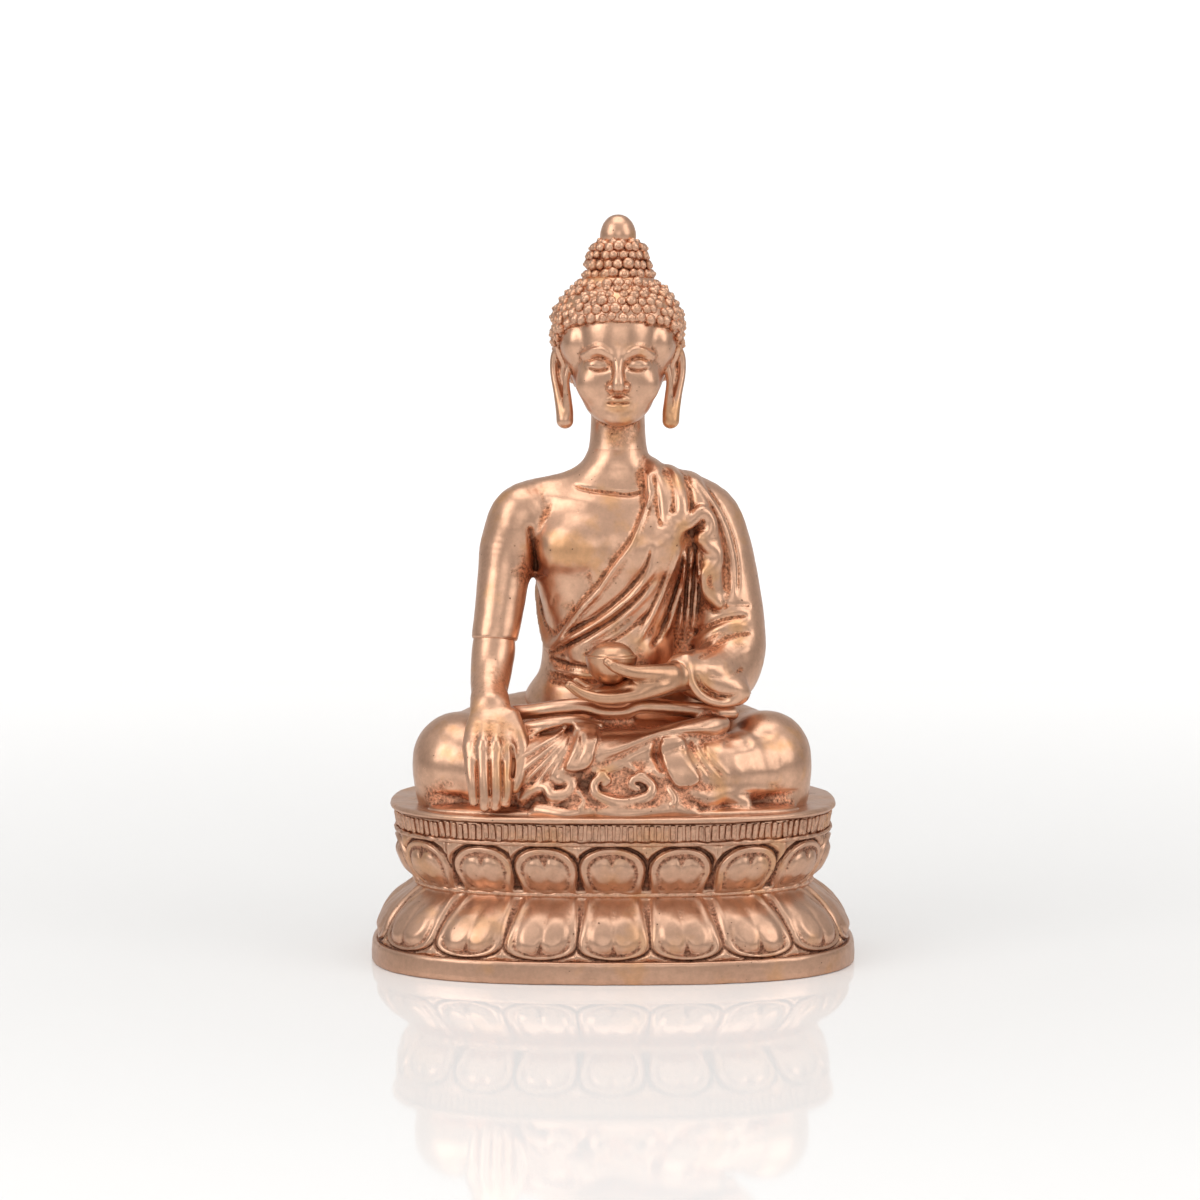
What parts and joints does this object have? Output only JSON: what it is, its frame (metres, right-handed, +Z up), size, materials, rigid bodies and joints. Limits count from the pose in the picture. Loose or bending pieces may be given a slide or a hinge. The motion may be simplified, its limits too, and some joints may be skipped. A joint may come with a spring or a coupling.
{
  "type": "seated buddha statue",
  "caption": "Small copper figure seated cross-legged on a double lotus throne, right hand reaching down to the seat, left hand holding a bowl.",
  "frame": {"origin": "centre of the throne's footprint, on the surface it stands on", "axes": "+Z up; the figure faces -Y; +X is the figure's left"},
  "size_m": [0.0704, 0.0484, 0.1078],
  "materials": {
    "copper": "polished copper, dull in the recesses",
    "sheet": "rolled copper sheet",
    "braze": "cast filler",
    "steel": "plain"
  },
  "bodies": {
    "root": {"base_plate": "sheet", "plate_pins": "sheet", "lower_lotus": "copper", "upper_lotus": "copper", "waist_braze": "braze", "seat_deck": "copper", "seat_screws": "steel", "seat_washers": "steel", "crossed_legs": "copper", "torso": "copper", "head": "copper", "finial_jewel": "copper", "right_forearm": "copper", "left_hand": "copper", "alms_bowl": "copper", "hip_pins": "steel", "neck_pin": "steel", "elbow_pin": "steel", "wrist_pin": "steel", "bowl_pin": "steel"}
  },
  "joints": []
}
